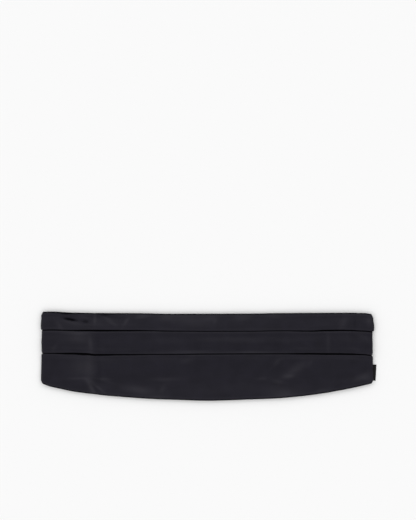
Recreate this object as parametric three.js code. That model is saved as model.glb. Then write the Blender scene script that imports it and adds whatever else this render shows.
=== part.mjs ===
// A cummerbund laid flat, fastened behind: three overlapping strips of satin whose ends are
// turned round behind, a webbing strap that joins the turned ends, and the clasp it runs through.
// X runs along the sash, Y from the lower edge to the top edge, Z up from the table.
import * as THREE from 'three';

// Sizes of the front as it lies, in millimetres
const frontWidth = 457;
const topBand = 23.7;
const middleBand = 30.9;
const lowerBand = 65.2;
const lowerEdgeRise = 23.7;
const lowerEdgeCurve = 2.37;
const cornerRounding = 3;
const endFullness = 1.5;
const endTightness = 1.2;
const hemFullness = 0.3;
const releaseDepth = 5;

// Sizes of the ends turned behind, and of the sag between them. The front is stiff enough to stand
// off the strap by frontBody, and its long edges stand off the table by edgeStandOff.
const flapLength = 68;
const flapTaper = 10;
const sagLength = 60;
const frontBody = 1.5;
const edgeStandOff = 2.6;

// Cloth, folds and hems
const clothThickness = 1;
const pressGap = 0.3;
const clearance = 0.3;
const pleatUnderlap = 14;
const tuckDepth = 10;
const hemDepth = 6;

// Strap and clasp
const strapWidth = 22;
const strapThickness = 1;
const strapSlant = THREE.MathUtils.degToRad(3);
const strapRise = 12;
const strapSewnLength = 25;
const tailReach = 3.5;
const tailDrop = 26.8;
const claspLength = 14;
const claspWall = 1;

// How finely the curves are divided
const turnSteps = 6;
const foldSteps = 4;
const slitSteps = 2;
const sagSteps = 5;
const middleSteps = 3;
const flapFrontSteps = 5;
const flapBackSteps = 2;

// How far each edge and fold rises above its own curve, as shares of the front's height.
// Column `along` is the place along the front, from -1 at the left end to 1 at the right end.
const edgeRows = [
  { along: -1.00, topEdge: 0.0215, firstPleat: 0.012, secondPleat: 0.004, lowerEdge: 0.003 },
  { along: -0.94, topEdge: 0.0235, firstPleat: 0.012, secondPleat: 0.005, lowerEdge: -0.009 },
  { along: -0.80, topEdge: 0.0115, firstPleat: 0.011, secondPleat: 0.005, lowerEdge: -0.0115 },
  { along: -0.65, topEdge: 0.006, firstPleat: 0.011, secondPleat: -0.007, lowerEdge: -0.001 },
  { along: -0.45, topEdge: 0.005, firstPleat: 0.010, secondPleat: -0.005, lowerEdge: 0.003 },
  { along: -0.20, topEdge: -0.0025, firstPleat: 0.001, secondPleat: -0.002, lowerEdge: 0.003 },
  { along: 0.00, topEdge: -0.0015, firstPleat: 0.000, secondPleat: 0.000, lowerEdge: -0.003 },
  { along: 0.25, topEdge: 0.000, firstPleat: 0.002, secondPleat: 0.003, lowerEdge: 0.004 },
  { along: 0.45, topEdge: 0.0055, firstPleat: 0.006, secondPleat: 0.003, lowerEdge: 0.001 },
  { along: 0.68, topEdge: 0.0085, firstPleat: 0.009, secondPleat: 0.001, lowerEdge: 0.000 },
  { along: 0.86, topEdge: 0.010, firstPleat: 0.008, secondPleat: -0.003, lowerEdge: 0.0035 },
  { along: 0.94, topEdge: 0.0065, firstPleat: 0.002, secondPleat: -0.010, lowerEdge: 0.006 },
  { along: 1.00, topEdge: -0.006, firstPleat: -0.008, secondPleat: -0.022, lowerEdge: 0.007 },
];

// Soft ridges and dents of the front. `along` is a share of the half width, `down` a share of the
// front's height below the top edge, `length` and `spread` are half lengths as shares of the front's
// height, `lean` is the turn from the sash's length in degrees, `rise` a share of the cloth.
const reliefRows = [
  { name: 'left flap ridge', along: -0.70, down: 0.72, length: 0.34, spread: 0.07, lean: 92, rise: 1.1 },
  { name: 'top left dent', along: -0.84, down: 0.055, length: 0.10, spread: 0.03, lean: 4, rise: -0.8 },
  { name: 'pucker by the dent', along: -0.57, down: 0.09, length: 0.16, spread: 0.04, lean: -14, rise: 0.7 },
  { name: 'lower left crease', along: -0.64, down: 0.86, length: 0.09, spread: 0.04, lean: -38, rise: 0.7 },
  { name: 'soft fold, right', along: 0.56, down: 0.62, length: 0.17, spread: 0.06, lean: 40, rise: 0.8 },
  { name: 'right flap ridge', along: 0.69, down: 0.30, length: 0.20, spread: 0.08, lean: 88, rise: 0.7 },
];

// Sizes worked out from those above
const halfWidth = frontWidth / 2;
const frontHeight = topBand + middleBand + lowerBand;
const foldHeight = 2 * clothThickness + pressGap;
const foldBase = clothThickness + clearance;
const stackHeight = foldBase + foldHeight;
const loopGap = strapThickness + 2 * clearance;
const turnStart = halfWidth - loopGap / 2 - stackHeight;
const flapEnd = halfWidth - flapLength;
const flapTop = Math.max(stackHeight, strapThickness + clearance + foldHeight);
const frontOverFlap = flapTop + loopGap;
const frontOverStrap = strapThickness + clearance + frontBody;
const claspRise = claspWall + clearance;
const claspEnd = flapEnd - clearance;
const claspStart = claspEnd - claspLength;
const claspRamp = { from: flapEnd + clothThickness, to: flapEnd + clothThickness + strapRise * 1.5 };
const tailEnd = halfWidth + tailReach;
const strapSlope = Math.tan(strapSlant);

// Colours and finishes
const satin = { color: 0x27252b, roughness: 0.48, metalness: 0 };
const webbing = { color: 0x17171a, roughness: 0.85, metalness: 0 };
const darkMetal = { color: 0x2a2a2d, roughness: 0.4, metalness: 0.8 };

function smooth(share) {
  const t = THREE.MathUtils.clamp(share, 0, 1);
  return t * t * (3 - 2 * t);
}

// The value of one column of edgeRows at a place along the front
function edgeShare(along, column) {
  const place = THREE.MathUtils.clamp(along, -1, 1);
  const next = Math.max(1, edgeRows.findIndex((row) => row.along >= place));
  const [low, high] = [edgeRows[next - 1], edgeRows[next]];
  const share = smooth((place - low.along) / (high.along - low.along));
  return THREE.MathUtils.lerp(low[column], high[column], share) * frontHeight;
}

// Heights of the edges and folds at a station, measured down from the top edge at the centre
function edgesAt(station) {
  const along = station.x / halfWidth;
  const reach = Math.abs(station.onFlap ? Math.sign(along) : along);
  const rounding = cornerRounding * smooth(station.round);
  const taper = station.onFlap ? flapTaper * (turnStart - Math.abs(station.x)) / (turnStart - flapEnd) : 0;
  const column = station.onFlap ? Math.sign(along) : along;
  const rise = lowerEdgeRise * Math.pow(reach, lowerEdgeCurve);
  return {
    topEdge: edgeShare(column, 'topEdge') - rounding,
    firstPleat: edgeShare(column, 'firstPleat') - topBand,
    secondPleat: edgeShare(column, 'secondPleat') - topBand - middleBand,
    lowerEdge: edgeShare(column, 'lowerEdge') + rise + rounding + taper - frontHeight,
  };
}

function strapCentre(x) {
  return -topBand - middleBand - tailDrop + (tailEnd - x) * strapSlope;
}

// How far the soft ridges and dents lift the front at a point
function relief(x, y) {
  let total = 0;
  for (const row of reliefRows) {
    const angle = THREE.MathUtils.degToRad(row.lean);
    const dx = x - row.along * halfWidth;
    const dy = y + row.down * frontHeight;
    const lengthwise = (dx * Math.cos(angle) + dy * Math.sin(angle)) / (row.length * frontHeight);
    const across = (dy * Math.cos(angle) - dx * Math.sin(angle)) / (row.spread * frontHeight);
    total += row.rise * clothThickness * Math.exp(-lengthwise * lengthwise - across * across);
  }
  return total;
}

// Height of the front's back face above the table
function frontLift(x, y, edges) {
  const overFlap = smooth((Math.abs(x) - flapEnd + sagLength) / sagLength);
  const strapEdge = strapCentre(x) - strapWidth / 2;
  const fallToTop = 1 - smooth((y - edges.firstPleat) / (edges.topEdge - edges.firstPleat));
  const fallToLower = 1 - smooth((strapEdge - y) / (strapEdge - edges.lowerEdge));
  const overStrap = THREE.MathUtils.lerp(edgeStandOff, frontOverStrap, Math.min(fallToTop, fallToLower));
  const fade = smooth((turnStart - Math.abs(x)) / (halfWidth - turnStart));
  return THREE.MathUtils.lerp(overStrap, frontOverFlap, overFlap) + relief(x, y) * fade;
}

// The front's height at a point, straight between the heights that all three strips share, so that
// strips lying on each other keep their distance
function sharedLift(x, y, edges) {
  const knots = [
    edges.topEdge,
    edges.firstPleat + pleatUnderlap,
    edges.firstPleat,
    edges.secondPleat + pleatUnderlap,
    edges.secondPleat,
    ...lowerFacePlaces(edges),
    edges.lowerEdge,
  ];
  const next = Math.max(1, knots.findIndex((knot) => knot <= y));
  const [above, below] = [knots[next - 1], knots[next]];
  const share = (above - y) / (above - below);
  return THREE.MathUtils.lerp(frontLift(x, above, edges), frontLift(x, below, edges), share);
}

// Heights across the lower panel's open face where its section has a point
function lowerFacePlaces(edges) {
  return [0.3, 0.6].map((share) => THREE.MathUtils.lerp(edges.secondPleat, edges.lowerEdge, share));
}

// How far the right flap's inner end rides up over the strap as it leaves the clasp
function flapRideUp(x) {
  const share = (x - claspRamp.from) / (claspRamp.to - claspRamp.from);
  return claspRise * (1 - THREE.MathUtils.clamp(share, 0, 1));
}

// How far the cloth stands out at the ends: full where no fold holds it, and drawn in at the second pleat
function endShift(y, edges) {
  const belowFirst = smooth((edges.firstPleat - y) / releaseDepth);
  const belowSecond = smooth((edges.secondPleat - y) / releaseDepth);
  const held = edges.secondPleat + pleatUnderlap;
  const free = smooth((y - held) / (edges.firstPleat - held));
  const middle = THREE.MathUtils.lerp(-endTightness, endFullness, free);
  const aboveHem = smooth((y - edges.lowerEdge) / (2 * hemDepth));
  const lower = THREE.MathUtils.lerp(hemFullness, endFullness, aboveHem);
  return THREE.MathUtils.lerp(THREE.MathUtils.lerp(0, middle, belowFirst), lower, belowSecond);
}

// Places a point of the cloth: a station along it, a height, and a depth outward from its back face
function placeCloth(station, y, depth, edges) {
  if (station.onFront) {
    return new THREE.Vector3(station.x, y, sharedLift(station.x, y, edges) + depth);
  }
  const side = Math.sign(station.x);
  if (station.onFlap) {
    const rideUp = side > 0 ? flapRideUp(station.x) : 0;
    return new THREE.Vector3(station.x, y, flapTop - depth + rideUp);
  }
  const radius = loopGap / 2 + depth;
  const shift = endShift(y, edges) * Math.sin(station.angle);
  const x = side * (turnStart + radius * Math.sin(station.angle) + shift);
  return new THREE.Vector3(x, y, flapTop + loopGap / 2 + radius * Math.cos(station.angle));
}

// Even steps from one value to another, with the first value and without the last
function steps(from, to, count) {
  return Array.from({ length: count }, (_, i) => from + ((to - from) * i) / count);
}

// Stations of one half of the sash, from the centre out, round the end and back along the flap
function halfStations(side) {
  const sagStart = flapEnd - sagLength;
  const frontPlaces = [
    ...steps(0, sagStart, middleSteps),
    ...steps(sagStart, flapEnd, sagSteps),
    ...steps(flapEnd, turnStart, flapFrontSteps),
  ];
  const front = frontPlaces.map((x) => ({ x: side * x, onFront: true, round: 0 }));
  const turn = steps(0, Math.PI, turnSteps).map((angle) => (
    { x: side * turnStart, angle, round: angle / (Math.PI / 2) }
  ));
  const flapPlaces = [
    ...steps(turnStart, claspRamp.to, flapBackSteps),
    claspRamp.to,
    claspRamp.from,
    flapEnd,
  ];
  const flap = flapPlaces.map((x) => ({ x: side * x, onFlap: true, round: 1 }));
  return [...front, ...turn, ...flap];
}

const leftStations = halfStations(-1).slice(1).reverse();
const stations = [...leftStations, ...halfStations(1)];

// Points of a half round between two heights of the section, at the end of a fold.
// The fold bulges to the side given by `way`, 1 up and -1 down.
function foldArc(edge, way, middle, radius, inset, count, fromTop) {
  const start = fromTop ? Math.PI / 2 : -Math.PI / 2;
  return Array.from({ length: count + 1 }, (_, i) => {
    const angle = start - Math.sign(start) * (Math.PI * i) / count;
    return {
      y: edge - way * inset + way * radius * Math.cos(angle),
      depth: middle + radius * Math.sin(angle),
    };
  });
}

const outerRadius = foldHeight / 2;
const innerRadius = pressGap / 2;
const hemMiddle = outerRadius;
const pleatMiddle = foldBase + outerRadius;
const faceOnHem = clothThickness + pressGap;
const faceOnPleat = foldBase + clothThickness + pressGap;

// A pressed fold at the lower edge of a pleat, and one at a hem, as the two sides of the cloth
function turnedFold(edge, way, middle, fromTop) {
  return {
    outer: foldArc(edge, way, middle, outerRadius, outerRadius, foldSteps, fromTop),
    inner: foldArc(edge, way, middle, innerRadius, outerRadius, slitSteps, fromTop),
  };
}

// The closed outline of a strip from the faces that show and the faces that don't
function ribbon(outerPoints, innerPoints) {
  return [...outerPoints, ...innerPoints.reverse()];
}

function topPleatSection(edges) {
  const hem = turnedFold(edges.topEdge, 1, hemMiddle, false);
  const fold = turnedFold(edges.firstPleat, -1, pleatMiddle, true);
  const underlapEnd = edges.firstPleat + pleatUnderlap;
  const hemEnd = edges.topEdge - hemDepth;
  const outer = [
    { y: hemEnd, depth: 0 },
    ...hem.outer,
    { y: underlapEnd, depth: faceOnPleat + clothThickness },
    ...fold.outer,
    { y: underlapEnd, depth: foldBase },
  ];
  const inner = [
    { y: hemEnd, depth: clothThickness },
    ...hem.inner,
    { y: underlapEnd, depth: faceOnPleat },
    ...fold.inner,
    { y: underlapEnd, depth: foldBase + clothThickness },
  ];
  return ribbon(outer, inner);
}

function middlePleatSection(edges) {
  const fold = turnedFold(edges.secondPleat, -1, pleatMiddle, true);
  const tuckTop = edges.firstPleat + tuckDepth;
  const slopeStart = edges.firstPleat - clothThickness;
  const underlapEnd = edges.secondPleat + pleatUnderlap;
  const outer = [
    { y: tuckTop, depth: clothThickness },
    { y: edges.firstPleat, depth: clothThickness },
    { y: slopeStart, depth: clothThickness },
    { y: underlapEnd, depth: faceOnPleat + clothThickness },
    ...fold.outer,
    { y: underlapEnd, depth: foldBase },
  ];
  const inner = [
    { y: tuckTop, depth: 0 },
    { y: edges.firstPleat, depth: 0 },
    { y: slopeStart, depth: 0 },
    { y: underlapEnd, depth: faceOnPleat },
    ...fold.inner,
    { y: underlapEnd, depth: foldBase + clothThickness },
  ];
  return ribbon(outer, inner);
}

function lowerPanelSection(edges) {
  const hem = turnedFold(edges.lowerEdge, -1, hemMiddle, true);
  const tuckTop = edges.secondPleat + tuckDepth;
  const slopeStart = edges.secondPleat - clothThickness;
  const hemEnd = edges.lowerEdge + hemDepth;
  const level = (depth) => lowerFacePlaces(edges).map((y) => ({ y, depth }));
  const outer = [
    { y: tuckTop, depth: clothThickness },
    { y: edges.secondPleat, depth: clothThickness },
    { y: slopeStart, depth: clothThickness },
    ...level(clothThickness),
    { y: hemEnd, depth: faceOnHem + clothThickness },
    ...hem.outer,
    { y: hemEnd, depth: 0 },
  ];
  const inner = [
    { y: tuckTop, depth: 0 },
    { y: edges.secondPleat, depth: 0 },
    { y: slopeStart, depth: 0 },
    ...level(0),
    { y: hemEnd, depth: faceOnHem },
    ...hem.inner,
    { y: hemEnd, depth: clothThickness },
  ];
  return ribbon(outer, inner);
}

// A closed solid through rings of points, whose ends are filled by the triangles of `cap`
function loft(rings, cap) {
  const count = rings[0].length;
  const positions = rings.flat().flatMap((point) => point.toArray());
  const index = [];
  for (let ring = 0; ring + 1 < rings.length; ring += 1) {
    for (let i = 0; i < count; i += 1) {
      const a = ring * count + i;
      const b = ring * count + ((i + 1) % count);
      index.push(a, b, a + count);
      index.push(b, b + count, a + count);
    }
  }
  const last = (rings.length - 1) * count;
  for (const [a, b, c] of cap) {
    index.push(a, c, b);
    index.push(last + a, last + b, last + c);
  }
  const geometry = new THREE.BufferGeometry();
  geometry.setAttribute('position', new THREE.Float32BufferAttribute(positions, 3));
  geometry.setIndex(index);
  geometry.computeVertexNormals();
  return geometry;
}

function capTriangles(section) {
  const outline = section.map((point) => new THREE.Vector2(point.y, point.depth));
  return THREE.ShapeUtils.triangulateShape(outline, []);
}

function clothStrip(name, sectionAt) {
  const rings = stations.map((station) => {
    const edges = edgesAt(station);
    return sectionAt(edges).map((point) => placeCloth(station, point.y, point.depth, edges));
  });
  const cap = capTriangles(sectionAt(edgesAt(stations[0])));
  return namedMesh(name, loft(rings, cap), satin);
}

// The strap's underside along its run: sewn inside the left flap, down to the table, up through
// the clasp, down again under the right flap, and out past the right end
function strapRun() {
  const insideFlap = flapTop + clearance;
  return [
    { x: -flapEnd - strapSewnLength, height: insideFlap },
    { x: -flapEnd + clearance, height: insideFlap },
    { x: -flapEnd + clearance + strapRise, height: 0 },
    { x: claspStart - strapRise, height: 0 },
    { x: claspStart, height: claspRise },
    { x: claspRamp.from, height: claspRise },
    { x: claspRamp.to, height: 0 },
    { x: tailEnd, height: 0, lean: strapSlope },
  ];
}

function backStrap() {
  const half = strapWidth / 2;
  const corners = [
    { across: -half, up: 0 },
    { across: half, up: 0 },
    { across: half, up: strapThickness },
    { across: -half, up: strapThickness },
  ];
  const rings = strapRun().map((stop) => corners.map((corner) => new THREE.Vector3(
    stop.x + corner.across * (stop.lean ?? 0),
    strapCentre(stop.x) + corner.across,
    stop.height + corner.up,
  )));
  return namedMesh('back_strap', loft(rings, [[0, 1, 2], [0, 2, 3]]), webbing);
}

// A plain flat sleeve round the strap, against the right flap's inner end
function clasp() {
  const innerWidth = strapWidth + 2 * clearance;
  const innerHeight = strapThickness + 2 * clearance;
  const outline = rectangle(innerWidth + 2 * claspWall, innerHeight + 2 * claspWall);
  outline.holes.push(rectangle(innerWidth, innerHeight));
  const geometry = new THREE.ExtrudeGeometry(outline, { depth: claspLength, bevelEnabled: false });
  geometry.rotateX(Math.PI / 2);
  geometry.rotateZ(Math.PI / 2);
  geometry.applyMatrix4(new THREE.Matrix4().makeShear(-strapSlope, 0, 0, 0, 0, 0));
  const mesh = namedMesh('clasp', geometry, darkMetal);
  mesh.position.set(claspStart, strapCentre(claspStart), innerHeight / 2 + claspWall);
  return mesh;
}

function rectangle(width, height) {
  const corners = [[-1, -1], [1, -1], [1, 1], [-1, 1]];
  return new THREE.Shape(corners.map(([x, y]) => new THREE.Vector2((x * width) / 2, (y * height) / 2)));
}

function namedMesh(name, geometry, finish) {
  const mesh = new THREE.Mesh(geometry, new THREE.MeshStandardMaterial(finish));
  mesh.name = name;
  return mesh;
}

const group = new THREE.Group();
group.add(
  clothStrip('top_pleat', topPleatSection),
  clothStrip('middle_pleat', middlePleatSection),
  clothStrip('lower_panel', lowerPanelSection),
  backStrap(),
  clasp(),
);

// The origin is on the table, at the middle of the space that the sash takes up
const box = new THREE.Box3().setFromObject(group, true);
const centre = box.getCenter(new THREE.Vector3());
group.position.set(-centre.x, -centre.y, -box.min.z);

export default group;
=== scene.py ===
"""A pleated satin cummerbund laid flat on a pale table, seen from straight above."""

import math

import bpy
import numpy as np
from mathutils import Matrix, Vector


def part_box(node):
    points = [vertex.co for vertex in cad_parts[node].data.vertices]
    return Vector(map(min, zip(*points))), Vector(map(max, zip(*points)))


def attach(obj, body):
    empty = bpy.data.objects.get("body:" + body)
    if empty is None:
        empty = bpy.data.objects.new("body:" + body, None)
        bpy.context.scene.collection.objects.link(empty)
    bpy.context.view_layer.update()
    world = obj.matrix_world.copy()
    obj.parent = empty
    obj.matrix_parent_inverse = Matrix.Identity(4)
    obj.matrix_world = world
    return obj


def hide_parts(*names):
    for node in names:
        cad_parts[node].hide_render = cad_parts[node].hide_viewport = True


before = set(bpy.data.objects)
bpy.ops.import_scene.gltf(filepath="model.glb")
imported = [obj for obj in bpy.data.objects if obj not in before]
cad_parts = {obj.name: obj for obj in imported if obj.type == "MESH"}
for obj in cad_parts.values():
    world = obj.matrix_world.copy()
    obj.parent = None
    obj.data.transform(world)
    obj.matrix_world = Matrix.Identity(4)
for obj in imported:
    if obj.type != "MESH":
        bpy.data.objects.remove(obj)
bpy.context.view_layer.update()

MM = 0.001

# Sizes of the front as it lies
FRONT_WIDTH = 457 * MM
TOP_BAND = 23.7 * MM
MIDDLE_BAND = 30.9 * MM
LOWER_BAND = 65.2 * MM
LOWER_EDGE_RISE = 23.7 * MM
LOWER_EDGE_CURVE = 2.37
CORNER_ROUNDING = 3 * MM
HALF_WIDTH = FRONT_WIDTH / 2
FRONT_HEIGHT = TOP_BAND + MIDDLE_BAND + LOWER_BAND

# Ends turned behind, and the sag of the front between them. The front lies FRONT_BODY and the usual
# clearance over the strap, and its long edges stand EDGE_STAND_OFF over the table.
FLAP_LENGTH = 68 * MM
FLAP_TAPER = 10 * MM
SAG_LENGTH = 60 * MM
SAG_MARGIN = 5 * MM
SAG_SOFTNESS = 0.06
SAG_CURVE = 2.4
FRONT_BODY = 2.4 * MM
EDGE_STAND_OFF = 4.4 * MM
FLAP_END = HALF_WIDTH - FLAP_LENGTH

# Depths of the layers, counted outward from the back face of the cloth. The shown cloth is as thin
# as satin is, so its folds are sharper than the solid strips' folds.
CLOTH = 0.7 * MM
PRESS_GAP = 0.25 * MM
CLEARANCE = 0.3 * MM
FOLD_BASE = CLOTH + CLEARANCE
FOLD_HEIGHT = 2 * CLOTH + PRESS_GAP
STACK_HEIGHT = FOLD_BASE + FOLD_HEIGHT
BACK = CLOTH / 2
HEM_FACE = BACK + CLOTH + PRESS_GAP
UNDER = FOLD_BASE + CLOTH / 2
FACE = UNDER + CLOTH + PRESS_GAP
UNDERLAP = 14 * MM
TUCK = 10 * MM
HEM = 6 * MM

# Strap and clasp
STRAP_WIDTH = 22 * MM
STRAP_THICKNESS = 1.0 * MM
STRAP_SLOPE = math.tan(math.radians(3))
STRAP_RISE = 12 * MM
STRAP_SEWN = 25 * MM
TAIL_REACH = 3.5 * MM
TAIL_DROP = 26.8 * MM
TAIL_SHOWN = 24 * MM
TAIL_PRESS = 1.2 * MM
SELVEDGE = 0.03
RIB_HEIGHT = 0.06 * MM
RIB_SPACING = 1.3 * MM
CLASP_LENGTH = 14 * MM
CLASP_WALL = 1.0 * MM

LOOP_GAP = STRAP_THICKNESS + 2 * CLEARANCE
TURN_START = HALF_WIDTH - LOOP_GAP / 2 - STACK_HEIGHT
FLAP_TOP = max(STACK_HEIGHT, STRAP_THICKNESS + CLEARANCE + FOLD_HEIGHT)
FRONT_OVER_FLAP = FLAP_TOP + LOOP_GAP
FRONT_OVER_STRAP = STRAP_THICKNESS + CLEARANCE + FRONT_BODY
CLASP_RISE = CLASP_WALL + CLEARANCE
CLASP_END = FLAP_END - CLEARANCE
CLASP_START = CLASP_END - CLASP_LENGTH
RAMP_FROM = FLAP_END + 1 * MM
RAMP_TO = RAMP_FROM + STRAP_RISE * 1.5
TAIL_END = HALF_WIDTH + TAIL_REACH

# Stations along the front, round each turn and along each flap
FRONT_STEP = 1.25 * MM
TURN_STEPS = 18
FLAP_STEPS = 35

# The frame's own place: x is 0 at the middle of the front, y is 0 at its top edge
SHIFT_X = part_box("back_strap")[1][0] - TAIL_END - STRAP_SLOPE * STRAP_WIDTH / 2
SHIFT_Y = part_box("lower_panel")[0][1] + FRONT_HEIGHT

# How far each edge and fold rises above its own curve, as shares of the front's height
EDGE_COLUMNS = ("along", "top_edge", "first_pleat", "second_pleat", "lower_edge")
EDGE_ROWS = np.array([
    (-1.00, 0.0215, 0.012, 0.004, 0.003),
    (-0.94, 0.0235, 0.015, 0.005, -0.009),
    (-0.80, 0.0115, 0.011, 0.008, -0.0115),
    (-0.73, 0.009, 0.013, 0.004, -0.007),
    (-0.67, 0.0065, 0.013, -0.0075, -0.002),
    (-0.45, 0.005, 0.010, -0.009, 0.006),
    (-0.20, -0.0025, 0.001, -0.0075, 0.0075),
    (0.00, -0.0015, -0.002, -0.0035, 0.001),
    (0.25, 0.000, -0.001, -0.001, 0.0075),
    (0.45, 0.0055, 0.0045, -0.0005, 0.0025),
    (0.62, 0.008, 0.003, 0.004, 0.0017),
    (0.72, 0.0088, 0.0125, 0.003, 0.002),
    (0.80, 0.0095, 0.0135, 0.0022, 0.0038),
    (0.86, 0.010, 0.011, 0.000, 0.0045),
    (0.94, 0.0065, 0.0025, -0.009, 0.006),
    (1.00, -0.006, -0.008, -0.022, 0.007),
])

# How far the cloth stands out at the two ends, in millimetres. band is 0 at the top edge, 1 at the
# first pleat, 2 at the second and 3 at the lower edge.
END_COLUMNS = ("band", "left", "right")
END_ROWS = np.array([
    (0.00, 0.00, -0.90),
    (0.15, 0.60, 0.40),
    (0.50, 0.10, 0.60),
    (0.98, 0.00, 0.50),
    (1.06, 0.35, -0.10),
    (1.25, 0.20, -0.50),
    (1.55, -0.50, -1.20),
    (1.98, -1.10, -1.50),
    (2.06, 0.90, 0.40),
    (2.30, 1.40, 1.00),
    (2.60, 1.80, 1.10),
    (2.85, 1.10, 0.50),
    (3.00, 0.50, 0.10),
])

# How far the two pleats stand open along the front. At 1 the fold's edge lifts by GAPE_LIFT and the
# painted shade beside it reaches GAPE_REACH beyond it.
GAPE_COLUMNS = ("along", "first_pleat", "second_pleat")
GAPE_ROWS = np.array([
    (-1.00, 0.40, 0.18),
    (-0.93, 0.50, 0.42),
    (-0.83, 0.52, 0.98),
    (-0.74, 0.85, 1.35),
    (-0.65, 1.00, 1.00),
    (-0.50, 0.75, 0.62),
    (-0.30, 0.35, 0.34),
    (0.00, 0.22, 0.42),
    (0.30, 0.20, 0.40),
    (0.45, 0.22, 0.42),
    (0.60, 0.50, 0.85),
    (0.74, 0.85, 1.00),
    (0.85, 0.65, 0.95),
    (0.95, 0.45, 0.50),
    (1.00, 0.45, 0.35),
])
GAPE_LIFT = 0.8 * MM
GAPE_REACH = 2.0 * MM
# Where the painted shade beside a fold's edge starts and how softly it fades
SHADE_MARGIN = 0.30 * MM
SHADE_FADE = 0.7 * MM

# Names and specular levels of the satin in the open, and of its two less glossy copies that paint shade
# on faces in shade and deep in folds. A face takes a shaded copy where its painted tone, 1 in the open
# and 0 in the dark, is below the two limits.
CLOTH_LOOKS = (("blue_black_satin", 0.16), ("satin_in_shade", 0.09), ("satin_painted_fold_shade", 0.02))
SHADE_LIMITS = (0.78, 0.48)
INSIDE_TONE = 0.75
# How much the painted shade deep in a fold darkens the cloth
FOLD_PAINTED_SHADE = 0.95

# Painted shade on the rim of the long edges, and a painted highlight strip beyond a shaded edge
RIM_WIDTH = 1.5 * MM
RIM_SHADE = 0.85
STRIP_LIGHT = 0.22
STRIP_PLACE = 1.6 * MM
STRIP_SPREAD = 1.1 * MM

# How much the relief below changes the painted tone, a painted highlight on ridges and painted shade in
# dents, and how much painted shade darkens the turned ends' rims
FULL_RIDGE = 0.55 * MM
DENT_SHADE = 0.75
END_SHADE = 0.40

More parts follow.
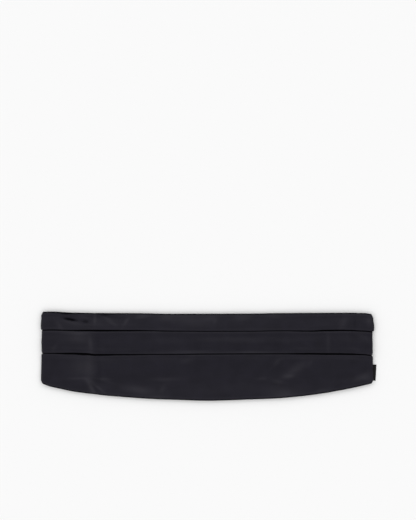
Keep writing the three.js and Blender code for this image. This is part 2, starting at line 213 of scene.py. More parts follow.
# Soft ridges and dents. along is a share of the half width, down a share of the front's height,
# length and spread are half lengths as shares of the front's height, lean is in degrees from the
# sash's length, and rise is in millimetres.
# Besides shaping the cloth, the ridges here get a painted highlight and the dents painted shade.
RELIEF_ROWS = [
    # top band, left: two deep dents, the dip of the edge above them, and light creases round them
    (-0.816, 0.071, 0.082, 0.019, -11, -0.68),
    (-0.850, 0.062, 0.036, 0.016, -3, -0.14),
    (-0.729, 0.093, 0.050, 0.030, -6, -0.44),
    (-0.850, 0.000, 0.120, 0.016, -2, -0.45),
    (-0.615, 0.016, 0.100, 0.022, 0, -0.38),
    (-0.883, 0.148, 0.065, 0.022, -52, 0.22),
    (-0.810, 0.110, 0.100, 0.024, -8, 0.18),
    (-0.735, 0.052, 0.070, 0.022, -20, 0.20),
    # top band: the padding under it, an upright crease, the puckers of a V and the soft roll beyond
    (0.000, 0.100, 2.200, 0.090, 0, 0.11),
    (-0.720, 0.130, 0.250, 0.050, 0, 0.12),
    (-0.674, 0.068, 0.060, 0.015, 86, 0.40),
    (-0.600, 0.060, 0.060, 0.010, -20, 0.20),
    (-0.578, 0.103, 0.074, 0.018, -31, 0.30),
    (-0.487, 0.094, 0.068, 0.018, 57, 0.36),
    (-0.395, 0.040, 0.085, 0.020, 8, 0.44),
    (-0.250, 0.050, 0.090, 0.030, 2, 0.32),
    (-0.130, 0.055, 0.230, 0.045, 0, 0.34),
    (-0.060, 0.120, 0.180, 0.045, 0, 0.18),
    (0.020, 0.056, 0.090, 0.028, 4, 0.32),
    (0.045, 0.090, 0.030, 0.020, 70, 0.25),
    (0.210, 0.053, 0.120, 0.028, 2, 0.34),
    (0.405, 0.040, 0.090, 0.018, -2, 0.25),
    # top band, right
    (0.815, 0.110, 0.070, 0.034, 60, 0.26),
    (0.885, 0.110, 0.070, 0.014, 90, -0.12),
    (0.975, 0.075, 0.036, 0.045, 0, 0.34),
    # middle band: light patches and upright lines over the flaps, and light along the second fold
    (-0.780, 0.232, 0.150, 0.016, -2, 0.32),
    (-0.765, 0.290, 0.130, 0.060, -8, 0.34),
    (-0.700, 0.350, 0.090, 0.024, 96, 0.34),
    (-0.655, 0.330, 0.120, 0.020, 90, -0.10),
    (-0.920, 0.400, 0.050, 0.020, 50, 0.18),
    (0.100, 0.300, 0.400, 0.030, 0, 0.10),
    (-0.100, 0.440, 0.300, 0.014, 0, 0.34),
    (0.270, 0.441, 0.200, 0.012, 0, 0.40),
    (0.665, 0.330, 0.120, 0.050, 90, -0.155),
    (0.725, 0.330, 0.110, 0.024, 90, 0.20),
    (0.930, 0.270, 0.080, 0.030, -30, 0.16),
    # lower panel, left: the broad light patch over the flap and the creases below it
    (-0.745, 0.612, 0.140, 0.098, 8, 0.34),
    (-0.705, 0.640, 0.200, 0.045, 91, 0.24),
    (-0.650, 0.620, 0.190, 0.024, 90, -0.12),
    (-0.780, 0.745, 0.150, 0.014, 2, 0.25),
    (-0.715, 0.770, 0.060, 0.026, -25, 0.34),
    (-0.690, 0.872, 0.070, 0.018, -58, 0.54),
    (-0.645, 0.865, 0.075, 0.013, -38, 0.42),
    (-0.620, 0.750, 0.070, 0.013, -4, 0.30),
    (-0.600, 0.780, 0.090, 0.014, -20, 0.16),
    # lower panel, middle: the roll along its hem and the soft creases above it
    (0.000, 0.870, 1.300, 0.150, 0, 0.07),
    (-0.257, 0.755, 0.160, 0.018, 0, 0.26),
    (-0.410, 0.885, 0.170, 0.045, -8, 0.40),
    (-0.270, 0.870, 0.060, 0.030, 60, 0.22),
    (-0.290, 0.955, 0.100, 0.020, -3, 0.20),
    (-0.120, 0.530, 0.080, 0.030, 20, 0.14),
    # lower panel, right: the diagonal fold that catches the light
    (0.530, 0.640, 0.140, 0.046, 33, 0.34),
    (0.490, 0.715, 0.070, 0.022, 6, 0.40),
    (0.423, 0.778, 0.060, 0.028, -12, 0.28),
    (0.420, 0.550, 0.060, 0.028, 48, 0.26),
    (0.330, 0.745, 0.060, 0.020, 4, 0.26),
    (0.455, 0.926, 0.175, 0.037, 5, 0.36),
    (0.690, 0.880, 0.090, 0.022, 14, 0.22),
    (0.620, 0.560, 0.040, 0.024, 60, 0.16),
    (0.930, 0.730, 0.110, 0.034, 30, 0.34),
    (0.960, 0.745, 0.050, 0.030, 0, 0.30),
]
RELIEF_FADE = 8 * MM

# Slight waves of pressed cloth: lengths in millimetres, heights as a share of the length, and the
# mean and spread of the direction across their crests, in radians from the sash's length
WAVES = 28
WAVE_SEED = 7
WAVE_LENGTHS = (14, 46)
WAVE_HEIGHT = 0.0012
WAVE_LEAN = (1.2, 0.45)

# The table, and the camera straight above. The view's centre is in x and y, and its height is what
# the frame takes in at the level of the cloth.
TABLE_REACH = 12.0
CAMERA_HEIGHT = 2.5
CLOTH_LEVEL = 5 * MM
VIEW_CENTRE = (-1.1 * MM, 131.9 * MM)
VIEW_HEIGHT = 0.714
SENSOR = 36

# Brightness of the sky from the horizon at 0 to straight up at 1, the side from which more light
# comes, and the strength that the lean is a share of
DOME_STOPS = ((0.0, 0.25), (0.35, 0.7), (0.6, 1.3), (0.75, 1.55), (0.92, 1.25), (0.98, 0.7), (1.0, 0.55))
LIGHT_LEAN = (-0.15, 0.16, 0)
LIGHT_STRENGTH = 1.872


def smooth(share):
    t = np.clip(share, 0, 1)
    return t * t * (3 - 2 * t)


def table_value(rows, columns, column, along):
    """One column of a table of rows at places along the front."""
    places = rows[:, 0]
    values = rows[:, columns.index(column)]
    place = np.clip(along, -1, 1)
    following = np.clip(np.searchsorted(places, place), 1, len(places) - 1)
    low, high = places[following - 1], places[following]
    share = smooth((place - low) / (high - low))
    return values[following - 1] * (1 - share) + values[following] * share


def strap_centre(x):
    return -TOP_BAND - MIDDLE_BAND - TAIL_DROP + (TAIL_END - x) * STRAP_SLOPE


def make_stations():
    """Stations from the inner end of the left flap, round both ends, to that of the right flap."""
    count = int(round(2 * TURN_START / FRONT_STEP))
    front = np.linspace(-TURN_START, TURN_START, count + 1)
    turn = np.full(TURN_STEPS, TURN_START)
    flap = np.linspace(TURN_START, FLAP_END, FLAP_STEPS + 1)[1:]
    turning = np.linspace(0, math.pi, TURN_STEPS + 1)[1:]
    behind = np.full(FLAP_STEPS, math.pi)
    x = np.concatenate([-flap[::-1], -turn, front, turn, flap])
    angle = np.concatenate([behind, turning[::-1], np.zeros(count + 1), turning, behind])
    on_flap = np.zeros(len(x), bool)
    on_flap[:FLAP_STEPS] = True
    on_flap[-FLAP_STEPS:] = True
    return {"x": x[:, None], "angle": angle[:, None], "on_flap": on_flap[:, None]}


STATIONS = make_stations()


def make_edges(stations):
    """Heights of the edges and folds at every station, and how far the pleats stand open there."""
    x, on_flap = stations["x"], stations["on_flap"]
    along = np.where(on_flap, np.sign(x), x / HALF_WIDTH)
    rounding = CORNER_ROUNDING * smooth(stations["angle"] / (math.pi / 2))
    taper = np.where(on_flap, FLAP_TAPER * (TURN_START - np.abs(x)) / (TURN_START - FLAP_END), 0)
    curve = LOWER_EDGE_RISE * np.abs(along) ** LOWER_EDGE_CURVE
    lines = EDGE_COLUMNS[1:]
    rise = {name: table_value(EDGE_ROWS, EDGE_COLUMNS, name, along) * FRONT_HEIGHT for name in lines}
    shut = 1 - smooth(stations["angle"] / math.pi)
    gape = {name: table_value(GAPE_ROWS, GAPE_COLUMNS, name, along) * shut for name in GAPE_COLUMNS[1:]}
    return {
        "top_edge": rise["top_edge"] - rounding,
        "first_pleat": rise["first_pleat"] - TOP_BAND,
        "second_pleat": rise["second_pleat"] - TOP_BAND - MIDDLE_BAND,
        "lower_edge": rise["lower_edge"] + curve + rounding + taper - FRONT_HEIGHT,
        "first_gape": gape["first_pleat"],
        "second_gape": gape["second_pleat"],
    }


EDGES = make_edges(STATIONS)


def relief(x, y):
    """Height of the ridges and dents at places on the front."""
    total = np.zeros(np.broadcast(x, y).shape)
    for along, down, length, spread, lean, rise in RELIEF_ROWS:
        angle = math.radians(lean)
        dx = x - along * HALF_WIDTH
        dy = y + down * FRONT_HEIGHT
        lengthwise = (dx * math.cos(angle) + dy * math.sin(angle)) / (length * FRONT_HEIGHT)
        across = (dy * math.cos(angle) - dx * math.sin(angle)) / (spread * FRONT_HEIGHT)
        total += rise * MM * np.exp(-lengthwise ** 2 - across ** 2)
    return total


def unevenness(x, y):
    """Slight waves of pressed cloth, longer along the sash than across it."""
    draw = np.random.default_rng(WAVE_SEED)
    total = np.zeros(np.broadcast(x, y).shape)
    for _ in range(WAVES):
        wave = draw.uniform(*WAVE_LENGTHS) * MM
        lean = draw.normal(*WAVE_LEAN)
        phase = draw.uniform(0, 2 * math.pi)
        k = 2 * math.pi / wave
        total += wave * WAVE_HEIGHT * np.cos(k * (x * math.cos(lean) + y * math.sin(lean)) + phase)
    return total


def front_lift(x, y):
    """Height of the front's back face above the table."""
    inward = (FLAP_END - SAG_MARGIN - np.abs(x)) / SAG_LENGTH
    inward = (inward + np.sqrt(inward ** 2 + SAG_SOFTNESS ** 2)) / 2
    over_flap = np.clip(1 - inward, 0, 1) ** SAG_CURVE
    strap_edge = strap_centre(x) - STRAP_WIDTH / 2
    to_top = 1 - smooth((y - EDGES["first_pleat"]) / (EDGES["top_edge"] - EDGES["first_pleat"]))
    to_lower = 1 - smooth((strap_edge - y) / (strap_edge - EDGES["lower_edge"]))
    over_strap = EDGE_STAND_OFF + (FRONT_OVER_STRAP - EDGE_STAND_OFF) * np.minimum(to_top, to_lower)
    fade = smooth((TURN_START - np.abs(x)) / RELIEF_FADE)
    base = over_strap * (1 - over_flap) + FRONT_OVER_FLAP * over_flap
    return np.maximum(base + (relief(x, y) + unevenness(x, y)) * fade, CLEARANCE)


def end_shift(y):
    """How far the cloth stands out at the ends."""
    lines = [EDGES[name] for name in EDGE_COLUMNS[1:]]
    band = sum(np.clip((high - y) / (high - low), 0, 1) for high, low in zip(lines, lines[1:]))
    sides = [END_ROWS[:, END_COLUMNS.index(side)] for side in ("left", "right")]
    left, right = (np.interp(band, END_ROWS[:, 0], side) * MM for side in sides)
    return np.where(STATIONS["x"] < 0, left, right)


def place_cloth(y, depth):
    """Points of the cloth at every station, from heights and depths outward from the back face."""
    x, angle, on_flap = STATIONS["x"], STATIONS["angle"], STATIONS["on_flap"]
    side = np.sign(x)
    turning = (angle > 0) & ~on_flap
    radius = LOOP_GAP / 2 + depth
    turn_x = side * (TURN_START + (radius + end_shift(y)) * np.sin(angle))
    turn_z = FLAP_TOP + LOOP_GAP / 2 + radius * np.cos(angle)
    ride_up = np.where(x > 0, CLASP_RISE * (1 - np.clip((x - RAMP_FROM) / (RAMP_TO - RAMP_FROM), 0, 1)), 0)
    front_z = front_lift(x, y) + depth
    place_x = np.where(turning, turn_x, x + 0 * y)
    place_z = np.where(turning, turn_z, np.where(on_flap, FLAP_TOP - depth + ride_up, front_z))
    return np.stack([place_x + SHIFT_X, y + SHIFT_Y, place_z], axis=-1)


def bend(points, spacing):
    """A smooth open path through the given points, evenly divided.

    The points are a list of (y, depth) pairs of arrays, one value for every station."""
    spread = 0 * STATIONS["x"]
    control = np.stack([np.stack([y + spread, depth + spread]) for y, depth in points])[..., 0]
    before = np.concatenate([2 * control[:1] - control[1:2], control, 2 * control[-1:] - control[-2:-1]])
    pieces = []
    for i in range(len(points) - 1):
        p0, p1, p2, p3 = before[i:i + 4]
        steps = spacing[i]
        t = (np.arange(steps) / steps)[:, None, None]
        d1 = np.sqrt(((p1 - p0) ** 2).sum(0)) + 1e-9
        d2 = np.sqrt(((p2 - p1) ** 2).sum(0)) + 1e-9
        d3 = np.sqrt(((p3 - p2) ** 2).sum(0)) + 1e-9
        m1 = ((p2 - p1) / d2 * d1 + (p1 - p0) / d1 * d2) / (d1 + d2) * d2
        m2 = ((p3 - p2) / d3 * d2 + (p2 - p1) / d2 * d3) / (d2 + d3) * d2
        pieces.append((2 * t**3 - 3 * t**2 + 1) * p1 + (t**3 - 2 * t**2 + t) * m1
                      + (-2 * t**3 + 3 * t**2) * p2 + (t**3 - t**2) * m2)
    pieces.append(control[-1:])
    return np.concatenate(pieces)


def cloth_strip(name, points, spacing, painted_shading):
    """A closed sheet of cloth that follows a path across the sash at every station.

    The given function takes the path's heights and its place among the points, and gives the painted
    shade of folds and rims there, less painted highlight strips."""
    path = bend(points, spacing)
    y, depth = path[:, 0, :].T, path[:, 1, :].T
    dy, dd = np.gradient(y, axis=1), np.gradient(depth, axis=1)
    length = np.sqrt(dy ** 2 + dd ** 2)
    half = CLOTH / 2
    outside = place_cloth(y + dd / length * half, depth - dy / length * half)
    inside = place_cloth(y - dd / length * half, depth + dy / length * half)
    rings = np.concatenate([outside, inside[:, ::-1]], axis=1)
    across = np.concatenate([np.cumsum(length, axis=1), np.cumsum(length, axis=1)[:, ::-1]], axis=1)
    strides = np.linalg.norm(np.diff(place_cloth(y, depth).mean(axis=1), axis=0), axis=1)
    along = np.concatenate([[0], np.cumsum(strides)])[:, None] + 0 * across
    between = np.concatenate([np.arange(steps) / steps for steps in spacing])
    place_on_path = np.repeat(np.arange(len(spacing)), spacing) + between
    # Painted shade of folds and rims and painted highlights of the relief, kept as the cloth's painted
    # tone
    hidden = painted_shading(y, np.append(place_on_path, len(spacing)))
    outside_painted_tone = (1 - FOLD_PAINTED_SHADE * hidden) * relief_painted_light(y)
    piece = lofted(name, rings, np.stack([along, across, 0 * across], axis=-1))
    painted_tone = piece.data.attributes.new("painted_tone", "FLOAT", "POINT")
    both = np.concatenate([outside_painted_tone, np.full_like(outside_painted_tone, INSIDE_TONE)], axis=1)
    painted_tone.data.foreach_set("value", both.reshape(-1).astype(np.float32))
    corners = np.empty(len(piece.data.loops), np.int32)
    piece.data.loops.foreach_get("vertex_index", corners)
    face_tone = both.reshape(-1)[corners].reshape(-1, 4).mean(axis=1)
    # Faces in painted shade or deep in folds take the less glossy shaded copies of the satin
    shaded = sum((face_tone < limit).astype(np.int32) for limit in SHADE_LIMITS)
    piece.data.polygons.foreach_set("material_index", shaded)
    return piece


def lofted(name, rings, cloth_place):
    """A closed mesh through rings whose first half faces out and whose second half faces in."""
    stations, count = rings.shape[:2]
    index = np.arange(stations * count).reshape(stations, count)
    a, b = index[:-1], np.roll(index, -1, axis=1)[:-1]
    c, d = np.roll(index, -1, axis=1)[1:], index[1:]
    sides = np.stack([a, b, c, d], axis=-1).reshape(-1, 4)
    half = count // 2
    low, high = np.arange(half - 1), np.arange(count - 1, half, -1)
    start = np.stack([low, high, high - 1, low + 1], axis=-1)
    finish = (start + (stations - 1) * count)[:, ::-1]
    mesh = bpy.data.meshes.new(name)
    mesh.from_pydata(rings.reshape(-1, 3).tolist(), [], np.concatenate([sides, start, finish]).tolist())
    mesh.shade_smooth()
    place = mesh.attributes.new("cloth_place", "FLOAT_VECTOR", "POINT")
    place.data.foreach_set("vector", cloth_place.reshape(-1).astype(np.float32))
    mesh.validate()
    piece = bpy.data.objects.new(name, mesh)
    bpy.context.collection.objects.link(piece)
    return piece


def relief_painted_light(y):
    """Painted light from the relief: ridges get a painted highlight, and dents and the rims at the two
    ends get painted shade.
    """
    height = relief(STATIONS["x"], y) / FULL_RIDGE * (STATIONS["angle"] < 0.1)
    ridge, dent = np.clip(height, 0, 1.5), np.clip(-height, 0, 1.3)
    rim = np.sin(STATIONS["angle"]) ** 4
    return (1 + ridge) * (1 - DENT_SHADE * dent) * (1 - END_SHADE * rim)


def fold_points(fold, gape):
    """The path of a pressed fold whose edge stands open by the gape, from its face to its underlap."""
    lift = GAPE_LIFT * gape
    return [
        (fold + 9 * MM, FACE + lift * 0.3),
        (fold + 2.2 * MM, FACE + lift * 0.9),
        (fold + CLOTH / 2, (UNDER + FACE) / 2 + lift),
        (fold + 1.6 * MM, UNDER + lift * 0.8),
        (fold + UNDERLAP, UNDER),
    ]


def painted_highlight_strip(beyond):
    """A painted highlight strip just beyond a shaded edge."""
    return STRIP_LIGHT * np.exp(-((beyond - STRIP_PLACE) / STRIP_SPREAD) ** 2)


def rim_shade(inward):
    """The painted shade of a rounded edge at a distance inward from it, less the painted highlight strip
    beyond.
    """
    clear = smooth((inward - 0.5 * RIM_WIDTH) / RIM_WIDTH)
    return RIM_SHADE * (1 - clear) - painted_highlight_strip(inward - RIM_WIDTH)


def covered(y, cover, gape):
    """The painted shade beside the covering fold's edge, 1 under the fold to 0 out in the light, less the
    painted highlight strip beyond.
    """
    beyond = cover - SHADE_MARGIN - GAPE_REACH * gape - y
    return 1 - smooth(beyond / SHADE_FADE) - painted_highlight_strip(beyond)


def top_pleat():
    """The top strip: hem behind, face, and the fold whose underlap starts at the path's place 7."""
    top, fold = EDGES["top_edge"], EDGES["first_pleat"]
    points = [
        (top - HEM, BACK),
        (top - 1.2 * MM, BACK),
        (top - CLOTH / 2, (BACK + HEM_FACE) / 2),
        (top - 1.4 * MM, HEM_FACE),
        (top - 6 * MM, HEM_FACE + 0.25 * MM),
        *fold_points(fold, EDGES["first_gape"]),
    ]

    # Painted shade on the top edge's rim, with a painted highlight strip inside it, and on the underlap
    # beneath the fold
    def painted_shading(y, place):
        return rim_shade(top - y) * (place < 5) + smooth(place - 6.9)

    return cloth_strip("top_pleat_satin", points, (4, 6, 6, 4, 10, 10, 7, 7, 6), painted_shading)


def middle_pleat():
    """The middle strip: tuck, face, and the fold whose underlap starts at the path's place 8."""
    first, fold = EDGES["first_pleat"], EDGES["second_pleat"]
    gape = EDGES["first_gape"]
    points = [
        (first + TUCK, BACK),
        (first + 1 * MM, BACK),
        (first - GAPE_REACH * gape * 0.5, BACK),
        (first - 1.2 * MM - GAPE_REACH * gape, BACK + 0.25 * MM + 0.5 * MM * gape),
        (first - 8 * MM, BACK + 0.75 * MM + 0.3 * MM * gape),
        (fold + UNDERLAP, FACE),
        *fold_points(fold, EDGES["second_gape"]),
    ]

    # Painted shade beside the first pleat's edge, with a painted highlight strip beyond, and on the
    # underlap beneath the second fold
    def painted_shading(y, place):
        return covered(y, first, gape) * (place < 6) + smooth(place - 7.9)

    return cloth_strip("middle_pleat_satin", points, (5, 6, 7, 8, 10, 6, 8, 7, 7, 6), painted_shading)


def lower_panel():
    """The lower strip: tuck, face, and the hem whose back starts at the path's place 10."""
    second, lower = EDGES["second_pleat"], EDGES["lower_edge"]
    gape = EDGES["second_gape"]
    hem_start = lower + HEM + np.minimum(11 * MM, 0.25 * (second - lower))
    points = [
        (second + TUCK, BACK),
        (second + 1 * MM, BACK),
        (second - GAPE_REACH * gape * 0.5, BACK),
        (second - 1.2 * MM - GAPE_REACH * gape, BACK + 0.2 * MM + 0.5 * MM * gape),
        (second - 9 * MM, BACK + 0.1 * MM),
        (second * 0.6 + lower * 0.4, BACK),
        (hem_start, BACK),
        (lower + HEM, HEM_FACE),
        (lower + 1.4 * MM, HEM_FACE),
        (lower + CLOTH / 2, (BACK + HEM_FACE) / 2),
        (lower + 1.2 * MM, BACK),
        (lower + HEM, BACK),
    ]

    # Painted shade beside the second pleat's edge, on the hem's rim and on the hem's turned-back side
    def painted_shading(y, place):
        rim = np.where(place > 9.5, smooth(place - 9) * 0.5, rim_shade(y - lower) * (place > 6))
        return covered(y, second, gape) * (place < 6) + rim

    return cloth_strip("lower_panel_satin", points, (5, 6, 7, 8, 14, 14, 5, 5, 6, 6, 5), painted_shading)


def strap_profile():
    """Places across the strap, the half thickness there, and the height of the ribs."""
    across = np.linspace(-1, 1, 65)
    across = np.sin(across * math.pi / 2) * 0.25 + across * 0.75
    edge = np.clip((1 - np.abs(across)) / SELVEDGE, 0, 1)
    bulge = (STRAP_THICKNESS / 2 - RIB_HEIGHT) * np.sqrt(1 - (1 - edge) ** 2)
    rib = RIB_HEIGHT * np.cos(across * STRAP_WIDTH / 2 / RIB_SPACING * 2 * math.pi)
    return across * STRAP_WIDTH / 2, bulge, rib


def back_strap():
    """Elastic webbing, sewn inside the left flap, through the clasp and out at the right end."""
    inside = FLAP_TOP + CLEARANCE
    stops = [
        (-FLAP_END - STRAP_SEWN, inside),
        (-FLAP_END + CLEARANCE, inside),
        (-FLAP_END + CLEARANCE + STRAP_RISE, 0),
        (CLASP_START - STRAP_RISE, 0),
        (CLASP_START, CLASP_RISE),
        (RAMP_FROM, CLASP_RISE),
        (RAMP_TO, 0),
        (TAIL_END, 0),
    ]
    stop_x, stop_z = np.array(stops).T
    hidden = np.arange(stop_x[0], TAIL_END - TAIL_SHOWN, 3 * MM)
    shown = np.linspace(TAIL_END - TAIL_SHOWN, TAIL_END, 33)
    x = np.concatenate([hidden, shown])[:, None]
    bottom = np.interp(x, stop_x, stop_z)
    across, bulge, rib = strap_profile()
    end = smooth((x - TAIL_END + TAIL_PRESS) / TAIL_PRESS)
    squeeze = 1 - 0.55 * end ** 3
    lean = STRAP_SLOPE * smooth((x - TAIL_END + TAIL_SHOWN) / TAIL_SHOWN)
    middle = bottom + STRAP_THICKNESS / 2
    upper = middle + (bulge + rib) * squeeze
    under = middle - (bulge + 0.03 * MM) * squeeze
    place_x = x + across * lean + SHIFT_X
    place_y = strap_centre(x) + across + SHIFT_Y
    top_face = np.stack([place_x, place_y, upper], axis=-1)
    under_face = np.stack([place_x, place_y, under], axis=-1)
    rings = np.concatenate([top_face, under_face[:, ::-1]], axis=1)
    across_all = np.concatenate([across, across[::-1]]) + 0 * x
    cloth_place = np.stack([x + 0 * across_all, across_all, 0 * across_all], axis=-1)
    return lofted("back_strap_webbing", rings[:, ::-1], cloth_place[:, ::-1])


def nodes_of(owner):
    owner.use_nodes = True
    owner.node_tree.nodes.clear()
    return owner.node_tree.nodes, owner.node_tree.links


def finish_of(name, kind="ShaderNodeBsdfPrincipled"):
    """A new material with one shader, and what is needed to add to it."""
    material = bpy.data.materials.new(name)
    nodes, links = nodes_of(material)
    out = nodes.new("ShaderNodeOutputMaterial")
    shader = nodes.new(kind)
    links.new(shader.outputs["BSDF"], out.inputs["Surface"])
    return material, nodes, links, shader


def satin(name, gloss):
    """Satin whose colour is darkened by painted shade and lightened by painted sheen, both from the
    cloth's painted tone, with a fine twill and soft slubs.
    """
    material, nodes, links, shader = finish_of(name)
    shader.inputs["Specular Tint"].default_value = (0.95, 0.92, 1.0, 1)

    place = nodes.new("ShaderNodeAttribute")
    place.attribute_name = "cloth_place"
    mottle = nodes.new("ShaderNodeTexNoise")
    mottle.inputs["Scale"].default_value = 55
    mottle.inputs["Detail"].default_value = 4
    links.new(place.outputs["Vector"], mottle.inputs["Vector"])
    colour = nodes.new("ShaderNodeValToRGB")
    colour.color_ramp.elements[0].position = 0.30
    colour.color_ramp.elements[0].color = (0.0067, 0.0062, 0.0102, 1)
    colour.color_ramp.elements[1].position = 0.72
    colour.color_ramp.elements[1].color = (0.0090, 0.0083, 0.0136, 1)
    links.new(mottle.outputs["Fac"], colour.inputs["Fac"])
    # Painted shade: the cloth's painted tone scales the colour down in folds, dents and rims
    painted_tone = nodes.new("ShaderNodeAttribute")
    painted_tone.attribute_name = "painted_tone"
    toned = nodes.new("ShaderNodeVectorMath")
    toned.operation = "SCALE"
    shade = nodes.new("ShaderNodeMapRange")
    links.new(painted_tone.outputs["Fac"], shade.inputs["Value"])
    links.new(colour.outputs["Color"], toned.inputs[0])
    links.new(shade.outputs["Result"], toned.inputs["Scale"])
    # Painted sheen: where the painted tone rises above 1 on ridges, a light colour is added
    ridge = nodes.new("ShaderNodeMapRange")
    ridge.inputs["From Min"].default_value = 1
    ridge.inputs["From Max"].default_value = 2
    links.new(painted_tone.outputs["Fac"], ridge.inputs["Value"])
    painted_sheen = nodes.new("ShaderNodeValToRGB")
    painted_sheen.color_ramp.elements[1].color = (0.0125, 0.0120, 0.0132, 1)
    links.new(ridge.outputs["Result"], painted_sheen.inputs["Fac"])
    lit = nodes.new("ShaderNodeVectorMath")
    links.new(toned.outputs["Vector"], lit.inputs[0])
    links.new(painted_sheen.outputs["Color"], lit.inputs[1])
    links.new(lit.outputs["Vector"], shader.inputs["Base Color"])
    shader.inputs["Specular IOR Level"].default_value = gloss
    rough = nodes.new("ShaderNodeMapRange")
    rough.inputs["To Min"].default_value = 0.28
    rough.inputs["To Max"].default_value = 0.36
    links.new(mottle.outputs["Fac"], rough.inputs["Value"])
    links.new(rough.outputs["Result"], shader.inputs["Roughness"])

    twill = nodes.new("ShaderNodeTexWave")
    twill.wave_type = "BANDS"
    twill.bands_direction = "DIAGONAL"
    twill.inputs["Scale"].default_value = 620
    twill.inputs["Distortion"].default_value = 1.2
    twill.inputs["Detail"].default_value = 1
    links.new(place.outputs["Vector"], twill.inputs["Vector"])
    weave = nodes.new("ShaderNodeBump")
    weave.inputs["Strength"].default_value = 0.12
    weave.inputs["Distance"].default_value = 0.00012
    links.new(twill.outputs["Fac"], weave.inputs["Height"])
    slub = nodes.new("ShaderNodeTexNoise")
    slub.inputs["Scale"].default_value = 160
    slub.inputs["Detail"].default_value = 3
    links.new(place.outputs["Vector"], slub.inputs["Vector"])
    surface = nodes.new("ShaderNodeBump")
    surface.inputs["Strength"].default_value = 0.25
    surface.inputs["Distance"].default_value = 0.0003
    links.new(slub.outputs["Fac"], surface.inputs["Height"])
    links.new(weave.outputs["Normal"], surface.inputs["Normal"])
    links.new(surface.outputs["Normal"], shader.inputs["Normal"])
    return material


def webbing():
    material, nodes, links, shader = finish_of("black_elastic_webbing")
    shader.inputs["Roughness"].default_value = 0.8
    shader.inputs["Specular IOR Level"].default_value = 0.25
    shader.inputs["Sheen Weight"].default_value = 0.05
    place = nodes.new("ShaderNodeAttribute")
    place.attribute_name = "cloth_place"
    rows = nodes.new("ShaderNodeTexWave")
    rows.bands_direction = "X"
    rows.inputs["Scale"].default_value = 250
    rows.inputs["Distortion"].default_value = 2.0
    links.new(place.outputs["Vector"], rows.inputs["Vector"])
    colour = nodes.new("ShaderNodeValToRGB")
    colour.color_ramp.elements[0].color = (0.0018, 0.0018, 0.0019, 1)
    colour.color_ramp.elements[1].color = (0.0048, 0.0048, 0.0050, 1)
    links.new(rows.outputs["Fac"], colour.inputs["Fac"])
    links.new(colour.outputs["Color"], shader.inputs["Base Color"])
    bump = nodes.new("ShaderNodeBump")
    bump.inputs["Strength"].default_value = 0.5
    bump.inputs["Distance"].default_value = 0.0002
    links.new(rows.outputs["Fac"], bump.inputs["Height"])
    links.new(bump.outputs["Normal"], shader.inputs["Normal"])
    return material


def enamel():
    material, nodes, links, shader = finish_of("black_enamel")
    shader.inputs["Base Color"].default_value = (0.012, 0.012, 0.013, 1)
    grain = nodes.new("ShaderNodeTexNoise")
    grain.inputs["Scale"].default_value = 900
    rough = nodes.new("ShaderNodeMapRange")
    rough.inputs["To Min"].default_value = 0.28
    rough.inputs["To Max"].default_value = 0.42
    links.new(grain.outputs["Fac"], rough.inputs["Value"])
    links.new(rough.outputs["Result"], shader.inputs["Roughness"])
    return material


def table_top():
    material, _, _, shader = finish_of("pale_table", "ShaderNodeBsdfDiffuse")
    shader.inputs["Color"].default_value = (0.9, 0.9, 0.9, 1)
    mesh = bpy.data.meshes.new("table")
    corners = [(x * TABLE_REACH, y * TABLE_REACH, 0) for x, y in ((-1, -1), (1, -1), (1, 1), (-1, 1))]
    mesh.from_pydata(corners, [], [(0, 1, 2, 3)])
    mesh.materials.append(material)
    table = bpy.data.objects.new("table", mesh)
    bpy.context.collection.objects.link(table)


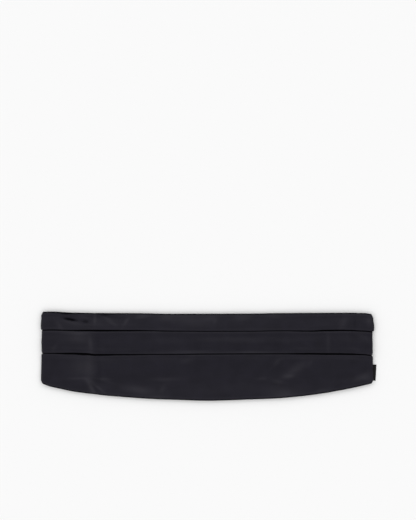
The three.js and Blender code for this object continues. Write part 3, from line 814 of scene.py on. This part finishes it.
def studio_light():
    """A soft dome, dimmer straight overhead than round it, and a little brighter from the upper left."""
    world = bpy.data.worlds.new("studio")
    bpy.context.scene.world = world
    nodes, links = nodes_of(world)
    out = nodes.new("ShaderNodeOutputWorld")
    background = nodes.new("ShaderNodeBackground")
    links.new(background.outputs["Background"], out.inputs["Surface"])
    direction = nodes.new("ShaderNodeTexCoord")
    split = nodes.new("ShaderNodeSeparateXYZ")
    links.new(direction.outputs["Generated"], split.inputs["Vector"])
    dome = nodes.new("ShaderNodeValToRGB")
    dome.color_ramp.interpolation = "EASE"
    steps = dome.color_ramp.elements
    for place, level in DOME_STOPS[1:-1]:
        steps.new(place).color = (level, level, level, 1)
    for end in (0, -1):
        place, level = DOME_STOPS[end]
        steps[end].position = place
        steps[end].color = (level, level, level, 1)
    links.new(split.outputs["Z"], dome.inputs["Fac"])
    lean = nodes.new("ShaderNodeVectorMath")
    lean.operation = "DOT_PRODUCT"
    lean.inputs[1].default_value = LIGHT_LEAN
    links.new(direction.outputs["Generated"], lean.inputs[0])
    strength = nodes.new("ShaderNodeMapRange")
    strength.inputs["From Min"].default_value = -1
    strength.inputs["To Min"].default_value = 0.0
    strength.inputs["To Max"].default_value = LIGHT_STRENGTH
    links.new(lean.outputs["Value"], strength.inputs["Value"])
    links.new(dome.outputs["Color"], background.inputs["Color"])
    links.new(strength.outputs["Result"], background.inputs["Strength"])


def camera():
    """A camera straight above the table. The frame is upright, so the sensor's size is its height."""
    data = bpy.data.cameras.new("camera")
    data.sensor_width = SENSOR
    data.lens = SENSOR * (CAMERA_HEIGHT - CLOTH_LEVEL) / VIEW_HEIGHT
    view = bpy.data.objects.new("camera", data)
    bpy.context.collection.objects.link(view)
    view.location = (*VIEW_CENTRE, CAMERA_HEIGHT)
    bpy.context.scene.camera = view


def main():
    scene = bpy.context.scene
    scene.view_settings.view_transform = "Standard"
    camera()
    table_top()
    studio_light()
    cloth = [satin(name, gloss) for name, gloss in CLOTH_LOOKS]
    strips = {
        "top_pleat": (top_pleat(), TOP_BAND + UNDERLAP + HEM),
        "middle_pleat": (middle_pleat(), TUCK + MIDDLE_BAND + UNDERLAP),
        "lower_panel": (lower_panel(), TUCK + LOWER_BAND + HEM),
    }
    for node, (piece, width) in strips.items():
        for material in cloth:
            piece.data.materials.append(material)
        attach(piece, "root")
        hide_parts(node)
    strap = back_strap()
    strap.data.materials.append(webbing())
    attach(strap, "root")
    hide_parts("back_strap")
    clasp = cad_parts["clasp"]
    clasp.data.materials.clear()
    clasp.data.materials.append(enamel())


main()
